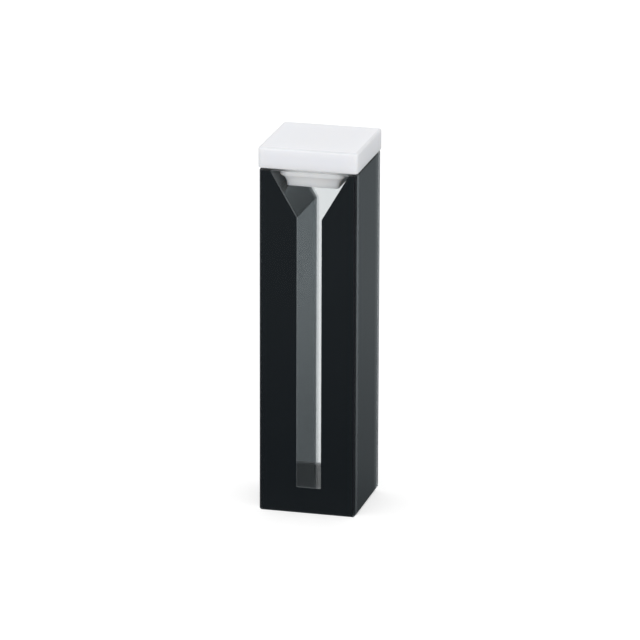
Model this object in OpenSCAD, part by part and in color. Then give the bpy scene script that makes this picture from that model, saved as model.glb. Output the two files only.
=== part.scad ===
// Semi-micro spectrophotometer cuvette with black side walls and a push-in lid.
// The cell is five quartz pieces fused face to face: two clear windows, two black
// walls whose inner faces lean back into a funnel at the top, and a black base block.
// The lid is one white piece: a cap that sits on the cell's rim, a collar below it that
// fills the mouth of the funnel, and a square plug whose root flares out to the collar.
// The origin is the centre of the cell's underside. +Z is up, the front window is
// at -Y, and the light passes along Y.

/* [Cell] */
// Width of the cell, across its black walls
cell_w = 12.5; // [11.8:0.1:14]
// Light path, from one window's inner face to the other's
light_path = 10; // [8.5:0.5:14]
// Thickness of each window
window_t = 1.25; // [0.8:0.05:2]
// Height of the cell without its lid
cell_h = 45; // [35:1:60]
// Bevel along the cell's outer edges
edge_bevel = 0.25; // [0.1:0.05:0.4]

/* [Chamber] */
// Width of the chamber, between the black walls
chamber_w = 3.2; // [1:0.1:5]
// Height of the chamber's floor above the underside
floor_h = 3.2; // [1.5:0.1:6]
// Width of the funnel at the rim
funnel_w = 10.7; // [9.5:0.1:11]
// Depth of the funnel, from the rim to where its slopes meet the chamber
funnel_h = 6.4; // [5:0.1:10]

/* [Lid cap] */
// How far the cap stands out past the cell on each side
cap_overhang = 0.15; // [0.05:0.05:1]
// Thickness of the cap
cap_t = 2.7; // [1.6:0.1:5]
// Radius of the cap's upright corners
cap_corner_r = 0.5; // [0.5:0.05:2]
// Radius along the cap's top edge
cap_top_r = 0.3; // [0.1:0.05:0.45]
// Radius along the cap's lower edge
cap_lower_r = 0.2; // [0.05:0.05:0.45]

/* [Lid plug] */
// Length of the plug, from the cap's underside down
plug_h = 2.75; // [2:0.05:3.5]
// Clearance from each slope of the funnel, at the plug's lower end
plug_clearance = 0.4; // [0.2:0.05:0.8]
// Radius of the plug's upright corners
plug_corner_r = 0.3; // [0.3:0.05:1]
// Radius along the plug's lower edge
plug_lower_r = 0.1; // [0.05:0.05:0.25]
// Height of the plug's straight side, between its lower edge and the flare
plug_side_h = 0.05; // [0.05:0.05:0.5]
// Height of the collar between the flare and the cap
collar_h = 1.25; // [0.5:0.05:1.6]
// Clearance from the nearest inner faces of the cell, at the collar's lower edge
collar_clearance = 0.4; // [0.1:0.05:0.6]

/* [Hidden] */
$fn = 96;

CLEAR_QUARTZ = [0.82, 0.87, 0.88, 0.45];
BLACK_QUARTZ = [0.08, 0.09, 0.10];
WHITE_PTFE = [0.93, 0.93, 0.94];

// How far a cutting shape runs past what it cuts
CUT = 1;

cell_d = light_path + 2 * window_t;
half_w = cell_w / 2;
half_path = light_path / 2;

// Gain in the funnel's half width for each millimetre of height
funnel_slope = (funnel_w - chamber_w) / 2 / funnel_h;

// Sizes that are worked out for the lid are taken down to a whole hundredth of a
// millimetre, so that its straight and round faces meet exactly
function hundredths(size) = floor(size * 100) / 100;

// Half of the funnel's width at a depth below the rim
function funnel_half_w(depth) = funnel_w / 2 - depth * funnel_slope;

// The plug clears both slopes of the funnel at its lower end, and is square
plug_w = hundredths(2 * (funnel_half_w(plug_h) - plug_clearance));

// The collar is as wide as the nearer pair of inner faces lets it be at its lower edge.
// The flare leads out to it in one arc, which starts in line with the plug's side and
// is a quarter circle at most.
collar_half_w = min(funnel_half_w(collar_h), half_path) - collar_clearance;
flare_h = plug_h - collar_h - plug_side_h - plug_lower_r;
flare_reach = hundredths(min(collar_half_w - plug_w / 2, flare_h));
flare_r = hundredths((flare_h * flare_h + flare_reach * flare_reach) / 2 / flare_reach);

cap_w = cell_w + 2 * cap_overhang;
cap_d = cell_d + 2 * cap_overhang;

// Rectangle centred on the origin with its four corners cut off at 45 degrees
module bevelled_rectangle(w, h, bevel) {
    x = w / 2;
    y = h / 2;
    polygon([
        [bevel - x, -y], [x - bevel, -y], [x, bevel - y], [x, y - bevel],
        [x - bevel, y], [bevel - x, y], [-x, y - bevel], [-x, bevel - y]
    ]);
}

// The whole cell's outside with every edge bevelled. Each fused piece is a slice of
// it, so the bevels run on from one piece to the next.
module cell_outside() {
    intersection() {
        linear_extrude(height = cell_h)
            bevelled_rectangle(cell_w, cell_d, edge_bevel);
        translate([0, 0, cell_h / 2])
            rotate([90, 0, 0])
                linear_extrude(height = cell_d, center = true)
                    bevelled_rectangle(cell_w, cell_h, edge_bevel);
        translate([0, 0, cell_h / 2])
            rotate([90, 0, 90])
                linear_extrude(height = cell_w, center = true)
                    bevelled_rectangle(cell_d, cell_h, edge_bevel);
    }
}

// Clear plate over the whole front (side = -1) or rear (side = 1) of the cell
module window_plate(side) {
    color(CLEAR_QUARTZ)
        intersection() {
            cell_outside();
            translate([-half_w, side * (half_path + window_t / 2) - window_t / 2, 0])
                cube([cell_w, window_t, cell_h]);
        }
}

// Section of the right wall: its inner face rises straight from the underside and
// then slopes back to the funnel's edge at the rim
module wall_section() {
    polygon([
        [chamber_w / 2, 0],
        [half_w, 0],
        [half_w, cell_h],
        [funnel_w / 2, cell_h],
        [chamber_w / 2, cell_h - funnel_h]
    ]);
}

// Black wall on the right (side = 1) or the left (side = -1), between the windows
module black_wall(side) {
    color(BLACK_QUARTZ)
        intersection() {
            cell_outside();
            mirror([side < 0 ? 1 : 0, 0, 0])
                rotate([90, 0, 0])
                    linear_extrude(height = light_path, center = true)
                        wall_section();
        }
}

module front_window() {
    window_plate(-1);
}

module rear_window() {
    window_plate(1);
}

module left_wall() {
    black_wall(-1);
}

module right_wall() {
    black_wall(1);
}

// Black block between the walls and the windows. Its top is the chamber's floor.
module base_block() {
    color(BLACK_QUARTZ)
        translate([-chamber_w / 2, -half_path, 0])
            cube([chamber_w, light_path, floor_h]);
}

// What rounding a square corner takes off, for a corner at the origin whose material
// lies in the quadrant +X +Y
module corner_waste(r) {
    difference() {
        translate([-CUT, -CUT])
            square(r + CUT);
        translate([r, r])
            circle(r = r);
    }
}

// Edge of the cap, measured outwards from the axis of an upright corner
module cap_edge_section() {
    difference() {
        square([cap_corner_r, cap_t]);
        translate([cap_corner_r, 0])
            mirror([1, 0])
                corner_waste(cap_lower_r);
        translate([cap_corner_r, cap_t])
            mirror([1, 0])
                mirror([0, 1])
                    corner_waste(cap_top_r);
    }
}

// Edge of the plug and its collar, measured outwards from the axis of an upright corner.
// The circle that is cut away below the collar leaves the flare.
module plug_edge_section() {
    difference() {
        translate([0, -plug_h])
            square([plug_corner_r + flare_reach, plug_h]);
        translate([plug_corner_r + flare_r, -collar_h - flare_h])
            circle(r = flare_r);
        translate([plug_corner_r, -plug_h - CUT])
            square([flare_reach + CUT, CUT + plug_lower_r + plug_side_h]);
        translate([plug_corner_r, -plug_h])
            mirror([1, 0])
                corner_waste(plug_lower_r);
    }
}

// Carries an edge section round a rectangle: revolved at the corners, straight along
// the sides. axis_x and axis_y place the upright axes of the corners.
module carry_round(axis_x, axis_y) {
    for (x = [-axis_x, axis_x])
        for (y = [-axis_y, axis_y])
            translate([x, y, 0])
                rotate_extrude()
                    children();
    for (side = [0, 1])
        rotate([0, 0, 180 * side])
            translate([axis_x, 0, 0])
                rotate([90, 0, 0])
                    linear_extrude(height = 2 * axis_y, center = true)
                        children();
    for (side = [0, 1])
        rotate([0, 0, 180 * side + 90])
            translate([axis_y, 0, 0])
                rotate([90, 0, 0])
                    linear_extrude(height = 2 * axis_x, center = true)
                        children();
}

// Cap, with its underside on the plane z = 0
module lid_cap() {
    axis_x = cap_w / 2 - cap_corner_r;
    axis_y = cap_d / 2 - cap_corner_r;
    carry_round(axis_x, axis_y)
        cap_edge_section();
    translate([-axis_x, -axis_y, 0])
        cube([2 * axis_x, 2 * axis_y, cap_t]);
}

// Plug, hanging from the plane z = 0
module lid_plug() {
    axis = plug_w / 2 - plug_corner_r;
    carry_round(axis, axis)
        plug_edge_section();
    translate([-axis, -axis, -plug_h])
        cube([2 * axis, 2 * axis, plug_h]);
}

module lid() {
    color(WHITE_PTFE)
        translate([0, 0, cell_h]) {
            lid_cap();
            lid_plug();
        }
}

front_window();
rear_window();
left_wall();
right_wall();
base_block();
lid();
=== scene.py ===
"""The look of a square cuvette: clear windows, black walls, a white push-in lid and its studio.

Every length is in metres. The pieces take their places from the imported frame, and the
sizes that the frame doesn't give are the properties below. What only a finish or the
studio needs is a named value above the function that uses it.
"""

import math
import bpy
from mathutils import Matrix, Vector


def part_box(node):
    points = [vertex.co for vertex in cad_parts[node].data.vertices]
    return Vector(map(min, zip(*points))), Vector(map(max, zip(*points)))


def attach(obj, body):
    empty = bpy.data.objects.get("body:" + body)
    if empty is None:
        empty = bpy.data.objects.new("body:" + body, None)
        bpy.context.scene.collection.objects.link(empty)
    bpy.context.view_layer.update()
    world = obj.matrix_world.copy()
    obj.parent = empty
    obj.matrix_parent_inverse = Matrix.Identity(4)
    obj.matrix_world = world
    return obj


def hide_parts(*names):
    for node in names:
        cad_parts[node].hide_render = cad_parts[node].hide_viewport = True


bl_info = {
    "name": "Cuvette finish",
    "version": (1, 0, 0),
    "blender": (4, 5, 0),
    "location": "3D View > Sidebar > Cuvette",
    "description": "Builds the windows, black walls, base block and lid of a square cuvette",
    "category": "Object",
}

import bmesh
import bpy
from mathutils import Quaternion, Vector

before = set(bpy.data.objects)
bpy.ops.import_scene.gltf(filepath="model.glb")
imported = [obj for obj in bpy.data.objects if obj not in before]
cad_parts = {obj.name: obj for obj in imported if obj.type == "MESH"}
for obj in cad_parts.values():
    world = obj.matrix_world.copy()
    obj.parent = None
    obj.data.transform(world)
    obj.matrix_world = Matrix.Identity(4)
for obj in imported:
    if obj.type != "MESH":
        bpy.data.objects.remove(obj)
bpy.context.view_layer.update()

MM = 0.001
BODY = "root"

GLASS_SLOT = "window_quartz"
BLACK_SLOT = "black_quartz"
LID_SLOT = "white_fluoropolymer"

# What the frame says: the cell's outer corners, the corners of the base block, which is as
# wide and as deep as the chamber, the lid's corners, and the height of the rim
CELL_LOW = Vector(map(min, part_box("front_window")[0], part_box("rear_window")[0]))
CELL_HIGH = Vector(map(max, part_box("front_window")[1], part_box("rear_window")[1]))
BASE_LOW, BASE_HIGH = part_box("base_block")
LID_LOW, LID_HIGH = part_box("lid")
SEAT_Z = CELL_HIGH.z


# ---------------------------------------------------------------- properties


def length(name, description, default, low=0.0, high=100 * MM):
    """A length in metres, with its name, description, default and limits."""
    return bpy.props.FloatProperty(
        name=name,
        description=description,
        default=default,
        min=low,
        max=high,
        precision=5,
        unit="LENGTH",
        subtype="DISTANCE",
    )


def angle(name, description, degrees):
    """An angle that is given in degrees and kept in radians."""
    return bpy.props.FloatProperty(
        name=name, description=description, default=math.radians(degrees), subtype="ANGLE"
    )


def colour(name, description, default):
    """A linear colour."""
    return bpy.props.FloatVectorProperty(
        name=name, description=description, default=default, size=3, min=0.0, max=1.0, subtype="COLOR"
    )


def amount(name, description, default, high):
    """A plain number from nothing to high."""
    return bpy.props.FloatProperty(
        name=name, description=description, default=default, min=0.0, max=high, precision=4
    )


class CuvetteCellSettings(bpy.types.PropertyGroup):
    """Sizes and finish of the fused cell."""

    edge_bevel: length("Edge bevel", "Width that each bevel takes off the outer faces", 0.25 * MM)
    edge_softness: length("Edge softness", "Rounding where a bevel meets a face", 0.04 * MM)
    funnel_width: length("Funnel width", "Width of the funnel at the rim", 10.7 * MM)
    funnel_height: length("Funnel height", "Depth of the funnel below the rim", 6.4 * MM)
    fused_depth: length("Fused depth", "How far a black piece reaches into a window", 0.02 * MM)
    band_width: length("Band width", "Frosted band on the rear window beside the walls", 0.27 * MM)
    front_tint: colour("Front tint", "What the front window lets through", (0.965, 0.975, 0.98))
    # The rear window is greyer than the front one as painted shade on what is seen through the cell;
    # both are the same quartz
    rear_tint: colour("Rear tint", "What the rear window lets through", (0.723, 0.742, 0.747))
    glass_ior: amount("Glass IOR", "Refractive index of fused quartz", 1.46, 2.5)
    black_tint: colour("Black tint", "Body colour of the black quartz", (0.0022, 0.0040, 0.0058))


class CuvetteLidSettings(bpy.types.PropertyGroup):
    """Sizes and finish of the lid."""

    corner_radius: length("Corner radius", "Radius of the cap's upright corners", 0.5 * MM)
    top_radius: length("Top radius", "Radius along the cap's top edge", 0.3 * MM)
    lower_radius: length("Lower radius", "Radius along the cap's lower edge", 0.2 * MM)
    plug_width: length("Plug width", "Width of the square plug", 6.67 * MM)
    plug_corner_radius: length("Plug corner radius", "Radius of the plug's upright corners", 0.3 * MM)
    plug_lower_radius: length("Plug lower radius", "Radius along the plug's lower edge", 0.1 * MM)
    plug_side_height: length("Plug side height", "Straight side below the plug's flare", 0.05 * MM)
    collar_height: length("Collar height", "Height of the collar between flare and cap", 1.25 * MM)
    flare_reach: length("Flare reach", "How far the collar stands out past the plug's side", 0.88 * MM)
    seat_gap: length("Seat gap", "Air left between the rim and the cap", 0.015 * MM)
    corner_steps: bpy.props.IntProperty(
        name="Corner steps", description="Facets in each rounded corner", default=16, min=2, max=64
    )
    lid_colour: colour("Lid colour", "Colour of the white fluoropolymer", (0.83, 0.84, 0.872))


class CuvetteStageSettings(bpy.types.PropertyGroup):
    """Camera and light."""

    distance: length("Camera distance", "From the aim point to the camera", 650 * MM, high=5.0)
    azimuth: angle("Azimuth", "Camera's turn from the front", 14.424)
    elevation: angle("Elevation", "Camera's height above the horizon", 17.277)
    roll: angle("Roll", "Camera's turn about its own axis", 0.181)
    focal_length: amount("Focal length", "Lens, in millimetres on a 36 mm sensor", 289.58, 1000.0)
    aim_height: length("Aim height", "Height of the point that the camera turns about", 23.8 * MM)
    slide_right: length("Slide right", "Camera's slide to its right", 0.029 * MM, low=-100 * MM)
    slide_up: length("Slide up", "Camera's slide upwards", 0.02 * MM, low=-100 * MM)
    sky_light: amount("Sky light", "Strength of the soft light from all round", 0.5, 4.0)
    top_light: amount("Top light", "Strength of the soft light from above", 1.25, 10.0)
    front_light: amount("Front light", "Strength of the soft light from the front", 1.55, 10.0)


# ---------------------------------------------------------------- node trees


class Value:
    """A node's output. Arithmetic on it adds Math nodes to the same tree."""

    def __init__(self, tree, socket):
        self.tree = tree
        self.socket = socket

    def _math(self, operation, *terms):
        return self.tree.add("ShaderNodeMath", {"operation": operation}, dict(enumerate(terms)))

    def __add__(self, other):
        return self._math("ADD", self, other)

    def __radd__(self, other):
        return self._math("ADD", other, self)

    def __sub__(self, other):
        return self._math("SUBTRACT", self, other)

    def __rsub__(self, other):
        return self._math("SUBTRACT", other, self)

    def __mul__(self, other):
        return self._math("MULTIPLY", self, other)

    def __rmul__(self, other):
        return self._math("MULTIPLY", other, self)

    def __truediv__(self, other):
        return self._math("DIVIDE", self, other)

    def __rtruediv__(self, other):
        return self._math("DIVIDE", other, self)

    def __pow__(self, other):
        return self._math("POWER", self, other)

    def __neg__(self):
        return self._math("SUBTRACT", 0.0, self)

    def __gt__(self, other):
        return self._math("GREATER_THAN", self, other)

    def __lt__(self, other):
        return self._math("LESS_THAN", self, other)

    def larger(self, other):
        """The larger of the two."""
        return self._math("MAXIMUM", self, other)

    def smaller(self, other):
        """The smaller of the two."""
        return self._math("MINIMUM", self, other)

    def floor(self):
        """The whole number below."""
        return self._math("FLOOR", self)

    def rounded(self):
        """The nearest whole number."""
        return self._math("ROUND", self)

    def sign(self):
        """-1, 0 or 1."""
        return self._math("SIGN", self)

    def size(self):
        """The value without its sign."""
        return self._math("ABSOLUTE", self)

    def cosine(self):
        """The cosine of an angle in radians."""
        return self._math("COSINE", self)

    def sine(self):
        """The sine of an angle in radians."""
        return self._math("SINE", self)

    def arc_cosine(self):
        """The angle in radians that has this cosine."""
        return self._math("ARCCOSINE", self)

    def between(self, low, high):
        """0 below low, 1 above high, and smooth in between."""
        return self.tree.add(
            "ShaderNodeMapRange",
            {"interpolation_type": "SMOOTHSTEP"},
            {"Value": self, "From Min": low, "From Max": high},
        )


class Tree:
    """A node tree under construction."""

    def __init__(self, node_tree):
        self.node_tree = node_tree

    def make(self, kind, settings=None, sockets=None):
        """Adds a node of any kind: its settings are set first, then its sockets."""
        node = self.node_tree.nodes.new(kind)
        for name, setting in (settings or {}).items():
            setattr(node, name, setting)
        for key, term in (sockets or {}).items():
            if isinstance(term, Value):
                self.node_tree.links.new(term.socket, node.inputs[key])
            else:
                node.inputs[key].default_value = term
        return node

    def add(self, kind, settings=None, sockets=None, output=0):
        """Adds a node of any kind and returns one of its outputs."""
        node = self.make(kind, settings, sockets)
        return Value(self, node.outputs[output])

    def vector(self, x, y, z=0.0):
        """A vector from its X, Y and Z."""
        return self.add("ShaderNodeCombineXYZ", {}, {"X": x, "Y": y, "Z": z})

    def axes(self, vector):
        """A vector's X, Y and Z."""
        split = self.make("ShaderNodeSeparateXYZ", {}, {"Vector": vector})
        return [Value(self, split.outputs[axis]) for axis in "XYZ"]

    def mix(self, factor, first, second):
        """Mixes two colours, which are a Mix node's inputs 6 and 7 and its output 2."""
        return self.add(
            "ShaderNodeMix", {"data_type": "RGBA"}, {0: factor, 6: first, 7: second}, output=2
        )

    def mix_shader(self, factor, first, second):
        """Mixes two shaders."""
        return self.add("ShaderNodeMixShader", {}, {0: factor, 1: first, 2: second})

    def ray(self, *kinds):
        """1 for a ray of any of these kinds, by the names of Light Path's outputs."""
        path = self.make("ShaderNodeLightPath")
        first, *others = (Value(self, path.outputs[kind]) for kind in kinds)
        for other in others:
            first = first.larger(other)
        return first


BLACK = (0.0, 0.0, 0.0, 1.0)
WHITE = (1.0, 1.0, 1.0, 1.0)


def opaque(rgb):
    """A colour with full alpha."""
    return (*rgb, 1.0)


class Finish(Tree):
    """A material under construction. Its patterns read Object coordinates."""

    def __init__(self, name):
        self.material = bpy.data.materials.new(name)
        self.material.use_nodes = True
        super().__init__(self.material.node_tree)
        self.node_tree.nodes.clear()
        self.place = self.add("ShaderNodeTexCoord", output="Object")

    def noise(self, size, detail, stretch=(1.0, 1.0, 1.0)):
        """Noise from 0 to 1 whose features are about size across, stretched along the axes."""
        scale = tuple(1 / (size * s) for s in stretch)
        vector = self.add("ShaderNodeMapping", {}, {"Vector": self.place, "Scale": scale})
        return self.add(
            "ShaderNodeTexNoise", {}, {"Vector": vector, "Scale": 1.0, "Detail": detail}
        )

    def bump(self, height, distance):
        """A normal bent by a height from 0 to 1, which stands distance tall."""
        return self.add(
            "ShaderNodeBump", {}, {"Height": height, "Distance": distance, "Strength": 1.0}
        )

    def principled(self, sockets):
        """A Principled shader."""
        return self.add("ShaderNodeBsdfPrincipled", {}, sockets)

    def surface(self, shader):
        """Ends the material in this shader."""
        self.make("ShaderNodeOutputMaterial", {}, {"Surface": shader})
        return self.material


# ---------------------------------------------------------------- glass finishes


# Levels of the noise at which a smear begins and is full
SMEAR_SPAN = (0.52, 0.72)
SMEAR_TINT = (0.55, 0.57, 0.58, 1.0)
SMEAR_SHARE = 0.08
BAND_TINT = (0.36, 0.38, 0.39, 1.0)
SIDE_TINT = (0.55, 0.6, 0.62, 1.0)
BEVEL_TINT = (0.97, 0.98, 0.985, 1.0)

# Roughness of the clean window, and what smears, the frosted band, the ground sides and
# the ground top bevel add to it
CLEAN_ROUGHNESS = 0.0015
SMEAR_ROUGHNESS = 0.004
BAND_ROUGHNESS = 0.12
SIDE_ROUGHNESS = 0.35
BEVEL_ROUGHNESS = 0.6

# How far from the rear window's inner face a point still counts as on it. It is also half
# the width over which the band's edge fades.
FACE_REACH = 0.05 * MM


def clear_polished_quartz():
    """Clear polished quartz with faint smears left by handling. A frosted band follows the
    black walls on the rear window's inner face. The outer sides and the top bevel are
    ground. Lamps shine through it."""
    cell = bpy.context.scene.cuvette_cell
    m = Finish("clear_polished_quartz")
    smear = m.noise(size=3.5 * MM, detail=3.0, stretch=(1.0, 1.0, 2.4)).between(*SMEAR_SPAN)
    fine = m.noise(size=0.35 * MM, detail=2.0)
    x, y, z = m.axes(m.place)

    slope = (cell.funnel_width / 2 - BASE_HIGH.x) / cell.funnel_height
    above_chamber = (z - (SEAT_Z - cell.funnel_height)).larger(0.0)
    half_opening = above_chamber * slope + BASE_HIGH.x
    from_wall = half_opening - x.size()
    band = (y - BASE_HIGH.y).size() < FACE_REACH
    band = band * (1 - from_wall.between(cell.band_width - FACE_REACH, cell.band_width + FACE_REACH))
    outer_side = x.size() > CELL_HIGH.x - cell.edge_bevel
    top_bevel = z > CELL_HIGH.z - cell.edge_bevel
    top_bevel = top_bevel * (y.size() > CELL_HIGH.y - cell.edge_bevel)

    # The rear window's greyer tint is painted shade on what is seen through it
    tint = m.mix(y > 0.0, opaque(cell.front_tint), opaque(cell.rear_tint))
    tint = m.mix(smear * SMEAR_SHARE, tint, SMEAR_TINT)
    tint = m.mix(band, tint, BAND_TINT)
    tint = m.mix(outer_side, tint, SIDE_TINT)
    tint = m.mix(top_bevel, tint, BEVEL_TINT)
    roughness = CLEAN_ROUGHNESS + SMEAR_ROUGHNESS * smear * fine + BAND_ROUGHNESS * band
    roughness = roughness + SIDE_ROUGHNESS * outer_side + BEVEL_ROUGHNESS * top_bevel
    glass = m.principled(
        {
            "Base Color": tint,
            "Roughness": roughness,
            "IOR": cell.glass_ior,
            "Transmission Weight": 1.0,
            "Normal": m.bump(m.noise(size=5.0 * MM, detail=1.0), distance=0.002 * MM),
        }
    )
    lamp = m.ray("Is Shadow Ray", "Is Diffuse Ray")
    clear = m.add("ShaderNodeBsdfTransparent")
    return m.surface(m.mix_shader(lamp, glass, clear))


def towards_windows(y, rear_start, front_start, full, front_share):
    """Haze and painted light that grow towards the rear window, and by a share of them towards the
    front one. The starts and where they are full are distances from the cell's middle."""
    return y.between(rear_start, full) + (-y).between(front_start, full) * front_share


POLISHED_CLOUD = (0.007, 0.0085, 0.009, 1.0)
# Grey of the milky haze at the joints, which also paints light by the windows and below the rim
POLISHED_HAZE_AND_LIGHT = (0.40, 0.42, 0.43, 1.0)
POLISHED_ROUGHNESS = 0.012
SCOUR_ROUGHNESS = 0.02

# How far below the rim the painted light on the funnel's slope begins and is full, and its share. It
# stands in for light thrown down from the lid
RIM_LIGHT_START = 3.5 * MM
RIM_LIGHT_FULL = 1.5 * MM
RIM_LIGHT_SHARE = 0.25


def black_quartz_polished():
    """Polished black quartz, as inside the chamber. It is lighter by the windows, as milky haze at the
    joints and as painted light where light comes in through them, and lighter below the rim, as
    painted light from the lid.
    """
    cell = bpy.context.scene.cuvette_cell
    m = Finish("black_quartz_polished")
    cloud = m.noise(size=2.0 * MM, detail=3.0)
    scour = m.noise(size=0.12 * MM, detail=2.0, stretch=(1.0, 6.0, 1.0))
    _, y, z = m.axes(m.place)
    # Lighter towards the windows: milky haze at the joints and painted light
    haze_and_light = towards_windows(
        y, rear_start=3.6 * MM, front_start=4.3 * MM, full=5.2 * MM, front_share=0.4
    )
    near_rim = z.between(SEAT_Z - RIM_LIGHT_START, SEAT_Z - RIM_LIGHT_FULL)
    # Painted light on the upper slope below the rim
    haze_and_light = haze_and_light.larger(near_rim * RIM_LIGHT_SHARE)
    body = m.mix(cloud, opaque(cell.black_tint), POLISHED_CLOUD)
    return m.surface(
        m.principled(
            {
                "Base Color": m.mix(haze_and_light, body, POLISHED_HAZE_AND_LIGHT),
                "Roughness": POLISHED_ROUGHNESS + SCOUR_ROUGHNESS * cloud * scour,
                "IOR": cell.glass_ior,
                "Normal": m.bump(cloud, distance=0.0006 * MM),
            }
        )
    )


GROUND_CLOUD = (0.005, 0.0085, 0.0115, 1.0)
# Grey that lightens the sides towards the windows: haze at the joints and painted light
GROUND_HAZE_AND_LIGHT = (0.11, 0.12, 0.125, 1.0)
GROUND_SPECULAR = 0.033
GROUND_ROUGHNESS = 0.1
GROUND_CLOUD_ROUGHNESS = 0.06
GRAIN_ROUGHNESS = 0.03


def black_quartz_ground():
    """Fine-ground black quartz, as on the outer sides and the underside. It is lighter towards the
    windows, most by the rear one, as haze at the joints and as painted light.
    """
    cell = bpy.context.scene.cuvette_cell
    m = Finish("black_quartz_ground")
    cloud = m.noise(size=4.0 * MM, detail=4.0)
    grain = m.noise(size=0.06 * MM, detail=2.0)
    _, y, _ = m.axes(m.place)
    # Haze at the joints and painted light, lighter towards the windows
    haze_and_light = towards_windows(
        y, rear_start=3.2 * MM, front_start=4.4 * MM, full=6.2 * MM, front_share=0.2
    )
    body = m.mix(cloud, opaque(cell.black_tint), GROUND_CLOUD)
    roughness = GROUND_ROUGHNESS + GROUND_CLOUD_ROUGHNESS * cloud + GRAIN_ROUGHNESS * grain
    return m.surface(
        m.principled(
            {
                "Base Color": m.mix(haze_and_light, body, GROUND_HAZE_AND_LIGHT),
                "Roughness": roughness,
                "IOR": cell.glass_ior,
                "Specular IOR Level": GROUND_SPECULAR,
                "Normal": m.bump(grain, distance=0.0004 * MM),
            }
        )
    )


FUSED_CLOUD = (0.004, 0.0060, 0.0080, 1.0)
FUSED_ROUGHNESS = 0.6
FUSED_CLOUD_ROUGHNESS = 0.2


def black_quartz_fused():
    """Black quartz where it is fused to a window: nothing is reflected at the joint."""
    cell = bpy.context.scene.cuvette_cell
    m = Finish("black_quartz_fused")
    cloud = m.noise(size=6.0 * MM, detail=3.0)
    return m.surface(
        m.principled(
            {
                "Base Color": m.mix(cloud, opaque(cell.black_tint), FUSED_CLOUD),
                "Roughness": FUSED_ROUGHNESS + FUSED_CLOUD_ROUGHNESS * cloud,
                "Specular IOR Level": 0.0,
            }
        )
    )


# ---------------------------------------------------------------- lid finish


# Painted shade: the cap's darker white at its foot
FOOT_SHADE_WHITE = (0.80, 0.805, 0.83, 1.0)
# Painted shade along the cap's top edge
EDGE_SHADE_WHITE = (0.69, 0.70, 0.73, 1.0)
# Painted light: the plug is whiter than the cap, where it sits in the dark funnel
PLUG_PAINTED_LIGHT_WHITE = (0.97, 0.975, 0.985, 1.0)

# Levels of the noise at which a cloud or a mottle begins and is full, its white and its share
CLOUD_SPAN = (0.35, 0.75)
CLOUD_WHITE = (0.84, 0.845, 0.87, 1.0)
CLOUD_SHARE = 0.3
MOTTLE_SPAN = (0.55, 0.8)
MOTTLE_WHITE = (0.82, 0.825, 0.85, 1.0)
MOTTLE_SHARE = 0.2

# Height over which the cap's side darkens towards its foot, as painted shade, and how far below the
# rim the plug's whiter colour, which is painted light, starts
FOOT_SHADE_HEIGHT = 0.9 * MM
PLUG_DROP = 0.05 * MM

# Where the painted shade along the cap's top edge, which tones down its highlight there, begins and is
# full: inwards from its sides, and down from its top
EDGE_SHADE_INWARDS = (0.42 * MM, 0.22 * MM)
EDGE_SHADE_DOWNWARDS = (0.2 * MM, 0.08 * MM)

LID_ROUGHNESS = 0.38
LID_CLOUD_ROUGHNESS = 0.1
MOTTLE_ROUGHNESS = 0.06

# Shares of the mottle and the streaks in the surface's relief
MOTTLE_RELIEF = 0.6
STREAK_RELIEF = 0.4

FLUOROPOLYMER_IOR = 1.38
SCATTER_RADIUS = (1.0, 0.95, 0.9)
SCATTER_SCALE = 1.5 * MM


def waxy_fluoropolymer():
    """Smooth, slightly waxy white fluoropolymer with faint handling marks. Painted shade darkens the
    cap towards its foot and along its top edge, and the plug is painted lighter than the cap.
    """
    lid = bpy.context.scene.cuvette_lid
    m = Finish("waxy_fluoropolymer")
    cloud = m.noise(size=2.5 * MM, detail=4.0)
    mottle = m.noise(size=0.35 * MM, detail=3.0)
    streak = m.noise(size=0.25 * MM, detail=2.0, stretch=(14.0, 14.0, 1.0))
    x, y, z = m.axes(m.place)
    by_side = x.size().larger(y.size()).between(*(LID_HIGH.x - inwards for inwards in EDGE_SHADE_INWARDS))
    shaded_top_edge = by_side * z.between(*(LID_HIGH.z - down for down in EDGE_SHADE_DOWNWARDS))

    # Painted shade: the cap darkens towards its foot by the rim
    white = m.mix(z.between(SEAT_Z, SEAT_Z + FOOT_SHADE_HEIGHT), FOOT_SHADE_WHITE, opaque(lid.lid_colour))
    # Painted shade that tones down the highlight along the cap's top edge
    white = m.mix(shaded_top_edge, white, EDGE_SHADE_WHITE)
    # Painted light: the plug, below the rim, is whiter than the cap
    white = m.mix(z < SEAT_Z - PLUG_DROP, white, PLUG_PAINTED_LIGHT_WHITE)
    white = m.mix(cloud.between(*CLOUD_SPAN) * CLOUD_SHARE, white, CLOUD_WHITE)
    white = m.mix(mottle.between(*MOTTLE_SPAN) * MOTTLE_SHARE, white, MOTTLE_WHITE)
    relief = MOTTLE_RELIEF * mottle + STREAK_RELIEF * streak
    return m.surface(
        m.principled(
            {
                "Base Color": white,
                "Roughness": LID_ROUGHNESS + LID_CLOUD_ROUGHNESS * cloud + MOTTLE_ROUGHNESS * mottle,
                "IOR": FLUOROPOLYMER_IOR,
                "Subsurface Weight": 1.0,
                "Subsurface Radius": SCATTER_RADIUS,
                "Subsurface Scale": SCATTER_SCALE,
                "Normal": m.bump(relief, distance=0.006 * MM),
            }
        )
    )


def material_once(maker):
    """The material that maker makes, made only once."""
    return bpy.data.materials.get(maker.__name__) or maker()


# ---------------------------------------------------------------- meshes


# Points nearer a cutting plane than this count as on it
CUT_TOLERANCE = 1e-9

# Edges that turn by more than this stay sharp
SHARP_ANGLE = math.radians(25)


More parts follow.
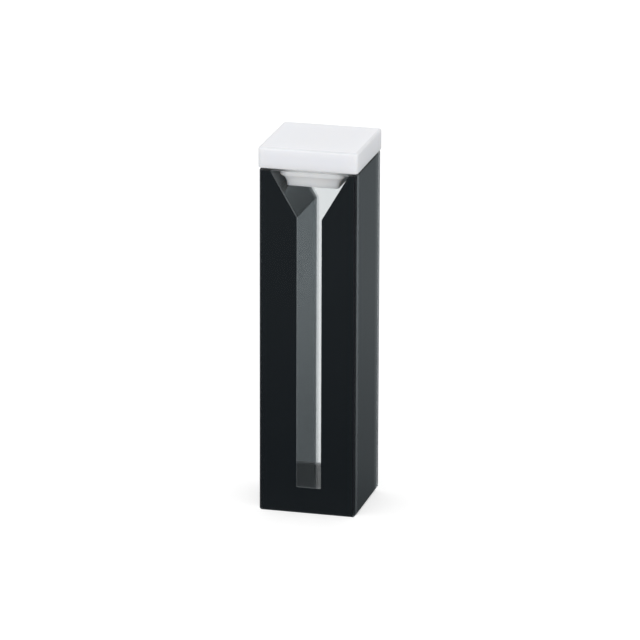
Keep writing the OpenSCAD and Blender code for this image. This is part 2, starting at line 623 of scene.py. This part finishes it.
def keep_below(bm, point, normal):
    """Cuts the solid by a plane, keeps what lies below it and closes the cut."""
    cut = bmesh.ops.bisect_plane(
        bm,
        geom=bm.verts[:] + bm.edges[:] + bm.faces[:],
        plane_co=point,
        plane_no=normal,
        clear_outer=True,
        dist=CUT_TOLERANCE,
    )
    edges = [e for e in cut["geom_cut"] if isinstance(e, bmesh.types.BMEdge)]
    if edges:
        bmesh.ops.contextual_create(bm, geom=edges)


def cell_outside():
    """The cell's whole outside as one solid, with bevelled edges that are slightly rounded."""
    cell = bpy.context.scene.cuvette_cell
    bm = bmesh.new()
    bmesh.ops.create_cube(bm, size=1.0)
    centre = (CELL_LOW + CELL_HIGH) / 2
    size = CELL_HIGH - CELL_LOW
    for vert in bm.verts:
        vert.co = centre + vert.co * size
    for first, second in ((0, 1), (1, 2), (0, 2)):
        for side_a in (-1, 1):
            for side_b in (-1, 1):
                normal = Vector((0, 0, 0))
                normal[first] = side_a
                normal[second] = side_b
                corner = centre + normal * size / 2
                corner[first] -= side_a * cell.edge_bevel
                keep_below(bm, corner, normal)
    bmesh.ops.bevel(
        bm, geom=bm.edges[:], offset=cell.edge_softness, segments=2, profile=0.5, affect="EDGES"
    )
    return bm


def make_plain(piece):
    """Turns what the modifiers give into the piece's own mesh, and removes them."""
    bpy.context.view_layer.update()
    depsgraph = bpy.context.evaluated_depsgraph_get()
    mesh = bpy.data.meshes.new_from_object(
        piece.evaluated_get(depsgraph), preserve_all_data_layers=True, depsgraph=depsgraph
    )
    if not mesh.polygons:
        raise RuntimeError(f"{piece.name} came out empty")
    piece.modifiers.clear()
    piece.data = mesh


def finished_piece(name, bm, finishes, slot, *nodes):
    """A shaded piece from a solid in bmesh. It rides on the body and stands for its nodes."""
    bmesh.ops.recalc_face_normals(bm, faces=bm.faces)
    mesh = bpy.data.meshes.new(name)
    bm.to_mesh(mesh)
    bm.free()
    for finish in finishes:
        mesh.materials.append(material_once(finish))
    mesh.shade_smooth()
    mesh.set_sharp_from_angle(angle=SHARP_ANGLE)
    piece = bpy.data.objects.new(name, mesh)
    bpy.context.scene.collection.objects.link(piece)
    piece.modifiers.new("even_faces", "WEIGHTED_NORMAL").keep_sharp = True
    make_plain(piece)
    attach(piece, BODY)
    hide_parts(*nodes)


# ---------------------------------------------------------------- cell


class CUVETTE_OT_windows(bpy.types.Operator):
    """Make the front and the rear window"""

    bl_idname = "cuvette.windows"
    bl_label = "Windows"

    def execute(self, context):
        for node, side, inner in (("front_window", -1, BASE_LOW), ("rear_window", 1, BASE_HIGH)):
            bm = cell_outside()
            keep_below(bm, inner, Vector((0, -side, 0)))
            finished_piece(f"{node}_glass", bm, [clear_polished_quartz], GLASS_SLOT, node)
        return {"FINISHED"}


# The black pieces' finishes, and the place of each in their material slots
BLACK_FINISHES = (black_quartz_polished, black_quartz_ground, black_quartz_fused)
POLISHED, GROUND, FUSED = range(3)

# A face is an outer one if its middle is nearer than this to the cell's left side, right
# side or underside. It is a little more than the bevels' width.
OUTER_REACH = 0.3 * MM

# How near a fused face lies to its plane, and how squarely it faces the window
FUSED_REACH = 0.001 * MM
FUSED_FACING = 0.9


def finish_by_place(bm, fused_y):
    """Sets each face's finish: polished inside, ground outside, or fused to a window."""
    bm.normal_update()
    for face in bm.faces:
        place = face.calc_center_median()
        on_window = abs(abs(place.y) - fused_y) < FUSED_REACH
        outside = CELL_HIGH.x - abs(place.x) < OUTER_REACH or place.z < OUTER_REACH
        if on_window and abs(face.normal.y) > FUSED_FACING:
            face.material_index = FUSED
        elif outside:
            face.material_index = GROUND
        else:
            face.material_index = POLISHED


def black_piece(node, cuts):
    """A black piece: what planes leave of the cell's outside, between the windows. Each cut
    is a point on its plane and the direction of what goes."""
    fused_y = BASE_HIGH.y + bpy.context.scene.cuvette_cell.fused_depth
    bm = cell_outside()
    for side in (-1, 1):
        keep_below(bm, Vector((0, side * fused_y, 0)), Vector((0, side, 0)))
    for point, normal in cuts:
        keep_below(bm, point, normal)
    finish_by_place(bm, fused_y)
    finished_piece(f"{node}_black", bm, BLACK_FINISHES, BLACK_SLOT, node)


class CUVETTE_OT_black_walls(bpy.types.Operator):
    """Make the left and the right black wall"""

    bl_idname = "cuvette.black_walls"
    bl_label = "Black walls"

    def execute(self, context):
        cell = context.scene.cuvette_cell
        half_chamber = BASE_HIGH.x
        half_funnel = cell.funnel_width / 2
        for node, side in (("left_wall", -1), ("right_wall", 1)):
            chamber_side = Vector((side * half_chamber, 0, 0))
            funnel_edge = Vector((side * half_funnel, 0, SEAT_Z))
            up_the_slope = Vector((-side * cell.funnel_height, 0, half_funnel - half_chamber))
            black_piece(
                node, [(chamber_side, Vector((-side, 0, 0))), (funnel_edge, up_the_slope)]
            )
        return {"FINISHED"}


class CUVETTE_OT_base_block(bpy.types.Operator):
    """Make the black block that closes the chamber's lower end"""

    bl_idname = "cuvette.base_block"
    bl_label = "Base block"

    def execute(self, context):
        cuts = [(Vector((side * BASE_HIGH.x, 0, 0)), Vector((side, 0, 0))) for side in (-1, 1)]
        cuts.append((BASE_HIGH, Vector((0, 0, 1))))
        black_piece("base_block", cuts)
        return {"FINISHED"}


# ---------------------------------------------------------------- lid


LID_INPUTS = (
    "Cap Width",
    "Cap Depth",
    "Cap Thickness",
    "Corner Radius",
    "Top Radius",
    "Lower Radius",
    "Plug Width",
    "Plug Length",
    "Plug Corner Radius",
    "Plug Lower Radius",
    "Plug Side Height",
    "Collar Height",
    "Flare Reach",
    "Seat Height",
)

# Points on each round run of an edge section, the lid's corners, the turn at each of them,
# and how near to each other two points are that become one
ROUND_STEPS = 12
CORNERS = 4
QUARTER = math.pi / 2
MERGE_DISTANCE = 1e-7


def straight(t, start, end):
    """A straight run of an edge section. Each point is (distance from the corner's axis,
    height)."""
    first, last = t.vector(*start), t.vector(*end)
    return t.add("GeometryNodeCurvePrimitiveLine", {}, {"Start": first, "End": last})


def arc(t, centre, radius, start, sweep):
    """A round run of an edge section, from an angle and turning by another."""
    turned = t.add(
        "GeometryNodeCurveArc",
        {"mode": "RADIUS"},
        {"Resolution": ROUND_STEPS, "Radius": radius, "Start Angle": start, "Sweep Angle": sweep},
    )
    return t.add(
        "GeometryNodeTransform", {}, {"Geometry": turned, "Translation": t.vector(*centre)}
    )


def cap_section(t, size):
    """The runs of the cap's edge, from its top to its underside."""
    corner, thickness = size["Corner Radius"], size["Cap Thickness"]
    top, low = size["Top Radius"], size["Lower Radius"]
    inner = (corner - top) / 2
    return [
        straight(t, (inner, thickness), (corner - top, thickness)),
        arc(t, (corner - top, thickness - top), top, QUARTER, -QUARTER),
        arc(t, (corner - low, low), low, 0.0, -QUARTER),
        straight(t, (corner - low, 0.0), (inner, 0.0)),
    ]


def plug_section(t, size):
    """The runs of the collar's and the plug's edge, from the cap down. The flare is an arc
    that starts in line with the plug's side and ends at the collar's lower edge."""
    corner, low, reach = size["Plug Corner Radius"], size["Plug Lower Radius"], size["Flare Reach"]
    plug_low = -size["Plug Length"]
    flare_low = plug_low + low + size["Plug Side Height"]
    collar_low = -size["Collar Height"]
    flare_height = collar_low - flare_low
    radius = (flare_height * flare_height + reach * reach) / 2 / reach
    start = (reach / radius - 1).arc_cosine()
    return [
        straight(t, (corner + reach, 0.0), (corner + reach, collar_low)),
        arc(t, (corner + radius, flare_low), radius, start, math.pi - start),
        arc(t, (corner - low, plug_low + low), low, 0.0, -QUARTER),
        straight(t, (corner - low, plug_low), ((corner - low) / 2, plug_low)),
    ]


def marked_sections(t, size):
    """Both edge sections as curves in one geometry. Each point is marked with where its
    corners' upright axes stand."""
    corner, plug_corner = size["Corner Radius"], size["Plug Corner Radius"]
    cap_axis = t.vector(size["Cap Width"] / 2 - corner, size["Cap Depth"] / 2 - corner)
    plug_reach = size["Plug Width"] / 2 - plug_corner
    plug_axis = t.vector(plug_reach, plug_reach)
    runs = [(run, cap_axis) for run in cap_section(t, size)]
    runs += [(run, plug_axis) for run in plug_section(t, size)]
    marked = [
        t.add(
            "GeometryNodeStoreNamedAttribute",
            {"data_type": "FLOAT_VECTOR", "domain": "POINT"},
            {"Geometry": run, "Name": "axis", "Value": axis},
        )
        for run, axis in runs
    ]
    join = t.make("GeometryNodeJoinGeometry")
    for run in reversed(marked):
        t.node_tree.links.new(run.socket, join.inputs[0])
    return Value(t, join.outputs[0])


def sampled(t, geometry, vector, index):
    """A vector's X, Y and Z at one point of a geometry."""
    found = t.add(
        "GeometryNodeSampleIndex",
        {"data_type": "FLOAT_VECTOR", "domain": "POINT"},
        {"Geometry": geometry, "Value": vector, "Index": index},
    )
    return t.axes(found)


def lid_tree():
    """Carries the cap's and the plug's edge sections round their corners' upright axes,
    and draws them straight between the corners. Each row of a grid becomes one point of the
    sections, carried round. The first and the last row close the lid at its middle."""
    group = bpy.data.node_groups.new("lid_by_edge_section", "GeometryNodeTree")
    face = group.interface
    for name in LID_INPUTS:
        face.new_socket(name, in_out="INPUT", socket_type="NodeSocketFloat")
    face.new_socket("Corner Steps", in_out="INPUT", socket_type="NodeSocketInt")
    face.new_socket("Material", in_out="INPUT", socket_type="NodeSocketMaterial")
    face.new_socket("Geometry", in_out="OUTPUT", socket_type="NodeSocketGeometry")
    t = Tree(group)
    given = t.make("NodeGroupInput")
    size = {s.name: Value(t, s) for s in given.outputs if s.name}

    sections = marked_sections(t, size)
    points = t.add(
        "GeometryNodeAttributeDomainSize",
        {"component": "CURVE"},
        {"Geometry": sections},
        output="Point Count",
    )
    steps = size["Corner Steps"]
    columns = CORNERS * (steps + 1) + 1
    rows = points + 2
    grid = t.add(
        "GeometryNodeMeshGrid",
        {},
        {"Size X": columns - 1, "Size Y": rows - 1, "Vertices X": columns, "Vertices Y": rows},
    )
    here = t.add("GeometryNodeInputPosition")
    grid_x, grid_y, _ = t.axes(here)
    column = (grid_x + (columns - 1) / 2).rounded()
    row = (grid_y + (rows - 1) / 2).rounded()
    quadrant = (column / (steps + 1)).floor()
    step = column - quadrant * (steps + 1)
    turn = (quadrant + step / steps) * QUARTER
    corner_turn = (quadrant + 0.5) * QUARTER

    section_point = (row - 1).larger(0).smaller(points - 1)
    radius, height, _ = sampled(t, sections, here, section_point)
    axis = t.add("GeometryNodeInputNamedAttribute", {"data_type": "FLOAT_VECTOR"}, {"Name": "axis"})
    axis_x, axis_y, _ = sampled(t, sections, axis, section_point)
    on_section = (row > 0.5) * (row < points + 0.5)
    x = (corner_turn.cosine().sign() * axis_x + radius * turn.cosine()) * on_section
    y = (corner_turn.sine().sign() * axis_y + radius * turn.sine()) * on_section
    z = height + size["Seat Height"]
    placed = t.add("GeometryNodeSetPosition", {}, {"Geometry": grid, "Position": t.vector(x, y, z)})
    closed = t.add(
        "GeometryNodeMergeByDistance", {}, {"Geometry": placed, "Distance": MERGE_DISTANCE}
    )
    whole = t.add("GeometryNodeRealizeInstances", {}, {"Geometry": closed})
    painted = t.add(
        "GeometryNodeSetMaterial", {}, {"Geometry": whole, "Material": size["Material"]}
    )
    t.make("NodeGroupOutput", {}, {"Geometry": painted})
    return group


class CUVETTE_OT_lid(bpy.types.Operator):
    """Make the lid: a cap with a square plug whose root flares out"""

    bl_idname = "cuvette.lid"
    bl_label = "Lid"

    def execute(self, context):
        lid = context.scene.cuvette_lid
        values = {
            "Cap Width": LID_HIGH.x - LID_LOW.x,
            "Cap Depth": LID_HIGH.y - LID_LOW.y,
            "Cap Thickness": LID_HIGH.z - SEAT_Z,
            "Corner Radius": lid.corner_radius,
            "Top Radius": lid.top_radius,
            "Lower Radius": lid.lower_radius,
            "Plug Width": lid.plug_width,
            "Plug Length": SEAT_Z - LID_LOW.z,
            "Plug Corner Radius": lid.plug_corner_radius,
            "Plug Lower Radius": lid.plug_lower_radius,
            "Plug Side Height": lid.plug_side_height,
            "Collar Height": lid.collar_height,
            "Flare Reach": lid.flare_reach,
            "Seat Height": SEAT_Z + lid.seat_gap,
            "Corner Steps": lid.corner_steps,
            "Material": material_once(waxy_fluoropolymer),
        }
        carrier = bpy.data.objects.new("lid_carrier", bpy.data.meshes.new("lid_carrier"))
        context.scene.collection.objects.link(carrier)
        nodes = carrier.modifiers.new("edge_section", "NODES")
        nodes.node_group = lid_tree()
        for item in nodes.node_group.interface.items_tree:
            if item.in_out == "INPUT":
                nodes[item.identifier] = values[item.name]
        make_plain(carrier)
        bm = bmesh.new()
        bm.from_mesh(carrier.data)
        bpy.data.objects.remove(carrier)
        # Set Material leaves an empty slot before its own, and the piece has one slot
        for face in bm.faces:
            face.material_index = 0
        finished_piece("lid_white", bm, [waxy_fluoropolymer], LID_SLOT, "lid")
        return {"FINISHED"}


# ---------------------------------------------------------------- floor


# The two greys that the floor varies between, the glow that is added where it is seen, how
# far it lies below the object, and half its width
FLOOR_GREYS = ((0.69, 0.69, 0.69, 1.0), (0.71, 0.71, 0.71, 1.0))
FLOOR_LIFT = 0.46
FLOOR_DROP = 0.01 * MM
FLOOR_HALF = 3.0


def stage_object(name, bm, material):
    """A stage piece from a mesh in bmesh. It takes no part in the object."""
    mesh = bpy.data.meshes.new(name)
    bm.to_mesh(mesh)
    bm.free()
    mesh.materials.append(material)
    piece = bpy.data.objects.new(name, mesh)
    bpy.context.scene.collection.objects.link(piece)
    return piece


def seen(t):
    """1 for rays that show a surface to the camera, also by gloss or through glass."""
    return t.ray("Is Camera Ray", "Is Glossy Ray", "Is Transmission Ray")


def floor_paint():
    """Pale floor that is lifted to white where it is seen, and keeps the shadow."""
    m = Finish("pale_floor")
    grey = m.mix(m.noise(size=60 * MM, detail=2.0), *FLOOR_GREYS)
    diffuse = m.add("ShaderNodeBsdfDiffuse", {}, {"Color": grey})
    lift = {"Color": m.mix(seen(m), BLACK, WHITE), "Strength": FLOOR_LIFT}
    glow = m.add("ShaderNodeEmission", {}, lift)
    return m.surface(m.add("ShaderNodeAddShader", {}, {0: diffuse, 1: glow}))


def make_floor():
    """The floor, just under the object."""
    bm = bmesh.new()
    bmesh.ops.create_grid(bm, x_segments=2, y_segments=2, size=FLOOR_HALF)
    for vert in bm.verts:
        vert.co.z = -FLOOR_DROP
    stage_object("floor", bm, floor_paint())


# ---------------------------------------------------------------- surround


# The bowl's rings as (radius, height): flat by the object, rising further out
SURROUND_RINGS = (
    (100 * MM, 0.005 * MM),
    (150 * MM, 4 * MM),
    (175 * MM, 40 * MM),
    (182 * MM, 74 * MM),
)
SURROUND_SIDES = 64

# Brightness of the surround in front of the object and behind it: its level at the middle,
# and the steps that it takes, each as what it follows, where it starts and ends, and its gain
FRONT_LEVEL = 0.2
FRONT_STEPS = (("reach", 5 * MM, 150 * MM, 0.13),)
BACK_LEVEL = 0.4
BACK_STEPS = (
    ("reach", 5 * MM, 110 * MM, 0.24),
    ("height", 10 * MM, 40 * MM, -0.45),
    ("height", 50 * MM, 55 * MM, 0.2),
    ("height", 54 * MM, 57 * MM, 0.15),
)
SURROUND_COLOUR = (0.90, 1.0, 1.04, 1.0)

# Half the depth over which the front's brightness turns into the back's
MIDDLE_FADE = 20 * MM

# Height at which the surround ends, by how much it is taller at the right, where it begins
# to be taller and is at its tallest, and the height over which it fades out
SURROUND_TOP = 54 * MM
TALLER_BY = 14 * MM
TALLER_SPAN = (10 * MM, 30 * MM)
SURROUND_FADE = 4 * MM


def card_paint():
    """Grey surround that only mirrored rays meet, as flags stand round a glass object."""
    m = Finish("grey_surround")
    x, y, z = m.axes(m.place)
    along = {"reach": (x * x + y * y) ** 0.5, "height": z}
    front, back = FRONT_LEVEL, BACK_LEVEL
    for follows, start, end, gain in FRONT_STEPS:
        front = front + along[follows].between(start, end) * gain
    for follows, start, end, gain in BACK_STEPS:
        back = back + along[follows].between(start, end) * gain
    level = front + (back - front) * y.between(-MIDDLE_FADE, MIDDLE_FADE)
    glow = m.add("ShaderNodeEmission", {}, {"Color": m.mix(level, BLACK, SURROUND_COLOUR)})
    clear = m.add("ShaderNodeBsdfTransparent")
    top = SURROUND_TOP + TALLER_BY * x.between(*TALLER_SPAN)
    below_top = 1 - (z - top).between(0.0, SURROUND_FADE)
    mirrored = m.ray("Glossy Depth") > 0.5
    return m.surface(m.mix_shader(mirrored * below_top, clear, glow))


def make_surround():
    """A shallow bowl round the object, which lights nothing and shows only in reflections."""
    bm = bmesh.new()
    rings = []
    for radius, height in SURROUND_RINGS:
        turns = (2 * math.pi * side / SURROUND_SIDES for side in range(SURROUND_SIDES))
        rings.append(
            [bm.verts.new((radius * math.cos(a), radius * math.sin(a), height)) for a in turns]
        )
    bm.faces.new(rings[0])
    for low, high in zip(rings, rings[1:]):
        for i in range(SURROUND_SIDES):
            j = (i + 1) % SURROUND_SIDES
            bm.faces.new((low[i], low[j], high[j], high[i]))
    material = card_paint()
    material.cycles.emission_sampling = "NONE"
    bowl = stage_object("grey_surround", bm, material)
    bowl.visible_camera = False
    bowl.visible_diffuse = False
    bowl.visible_shadow = False


# ---------------------------------------------------------------- light and camera


# Where each lamp shines from, and how wide it looks from the object, in degrees
TOP_FROM = Vector((0.0, 0.0, 1.0))
TOP_SPREAD = 60
FRONT_FROM = Vector((0.25, -0.96, 0.1))
FRONT_SPREAD = 50

# The camera's sensor, in millimetres, and the nearest that it sees
SENSOR = 36.0
CLIP_START = 10 * MM


def make_world(strength):
    """Even soft light, with white behind everything that is seen."""
    world = bpy.data.worlds.new("soft_sky")
    bpy.context.scene.world = world
    world.use_nodes = True
    world.node_tree.nodes.clear()
    t = Tree(world.node_tree)
    soft, white = (
        t.add("ShaderNodeBackground", {}, {"Color": WHITE, "Strength": level})
        for level in (strength, 1.0)
    )
    t.make("ShaderNodeOutputWorld", {}, {"Surface": t.mix_shader(seen(t), soft, white)})


def make_lamp(name, strength, direction, spread):
    """A wide soft lamp from a direction. Mirrored rays don't meet it."""
    lamp = bpy.data.lights.new(name, "SUN")
    lamp.energy = strength
    lamp.angle = math.radians(spread)
    holder = bpy.data.objects.new(name, lamp)
    holder.rotation_mode = "QUATERNION"
    holder.rotation_quaternion = (-direction).to_track_quat("-Z", "Y")
    holder.visible_glossy = False
    bpy.context.scene.collection.objects.link(holder)


def make_camera(stage):
    """The camera, aimed at the object's middle from the front right and above."""
    camera = bpy.data.cameras.new("camera")
    camera.sensor_width = SENSOR
    camera.lens = stage.focal_length
    camera.clip_start = CLIP_START
    eye = bpy.data.objects.new("camera", camera)
    back = Vector(
        (
            math.sin(stage.azimuth) * math.cos(stage.elevation),
            -math.cos(stage.azimuth) * math.cos(stage.elevation),
            math.sin(stage.elevation),
        )
    )
    facing = (-back).to_track_quat("-Z", "Y")
    right = facing @ Vector((1, 0, 0))
    up = facing @ Vector((0, 1, 0))
    aim = Vector((0, 0, stage.aim_height))
    eye.location = aim + back * stage.distance + right * stage.slide_right + up * stage.slide_up
    eye.rotation_mode = "QUATERNION"
    eye.rotation_quaternion = facing @ Quaternion((0, 0, 1), stage.roll)
    bpy.context.scene.collection.objects.link(eye)
    bpy.context.scene.camera = eye


class CUVETTE_OT_stage(bpy.types.Operator):
    """Make the floor, the surround, the light and the camera"""

    bl_idname = "cuvette.stage"
    bl_label = "Stage"

    def execute(self, context):
        stage = context.scene.cuvette_stage
        make_floor()
        make_surround()
        make_world(stage.sky_light)
        make_lamp("top_light", stage.top_light, TOP_FROM, TOP_SPREAD)
        make_lamp("front_light", stage.front_light, FRONT_FROM, FRONT_SPREAD)
        make_camera(stage)
        context.scene.view_settings.view_transform = "Standard"
        return {"FINISHED"}


# ---------------------------------------------------------------- add-on


OPERATORS = (
    CUVETTE_OT_stage,
    CUVETTE_OT_windows,
    CUVETTE_OT_black_walls,
    CUVETTE_OT_base_block,
    CUVETTE_OT_lid,
)
PROPERTY_GROUPS = {
    "cuvette_cell": CuvetteCellSettings,
    "cuvette_lid": CuvetteLidSettings,
    "cuvette_stage": CuvetteStageSettings,
}


class CUVETTE_PT_panel(bpy.types.Panel):
    """Lists the pieces and their sizes"""

    bl_idname = "CUVETTE_PT_panel"
    bl_label = "Cuvette"
    bl_space_type = "VIEW_3D"
    bl_region_type = "UI"
    bl_category = "Cuvette"

    def draw(self, context):
        for operator in OPERATORS:
            self.layout.operator(operator.bl_idname)
        for holder, group in PROPERTY_GROUPS.items():
            settings = getattr(context.scene, holder)
            box = self.layout.box()
            for name in group.__annotations__:
                box.prop(settings, name)


def register():
    for group in PROPERTY_GROUPS.values():
        bpy.utils.register_class(group)
    for holder, group in PROPERTY_GROUPS.items():
        setattr(bpy.types.Scene, holder, bpy.props.PointerProperty(type=group))
    for operator in OPERATORS:
        bpy.utils.register_class(operator)
    bpy.utils.register_class(CUVETTE_PT_panel)


def unregister():
    bpy.utils.unregister_class(CUVETTE_PT_panel)
    for operator in reversed(OPERATORS):
        bpy.utils.unregister_class(operator)
    for holder in PROPERTY_GROUPS:
        delattr(bpy.types.Scene, holder)
    for group in reversed(PROPERTY_GROUPS.values()):
        bpy.utils.unregister_class(group)


def main():
    register()
    bpy.ops.cuvette.stage()
    bpy.ops.cuvette.windows()
    bpy.ops.cuvette.black_walls()
    bpy.ops.cuvette.base_block()
    bpy.ops.cuvette.lid()


if __name__ == "__main__":
    main()
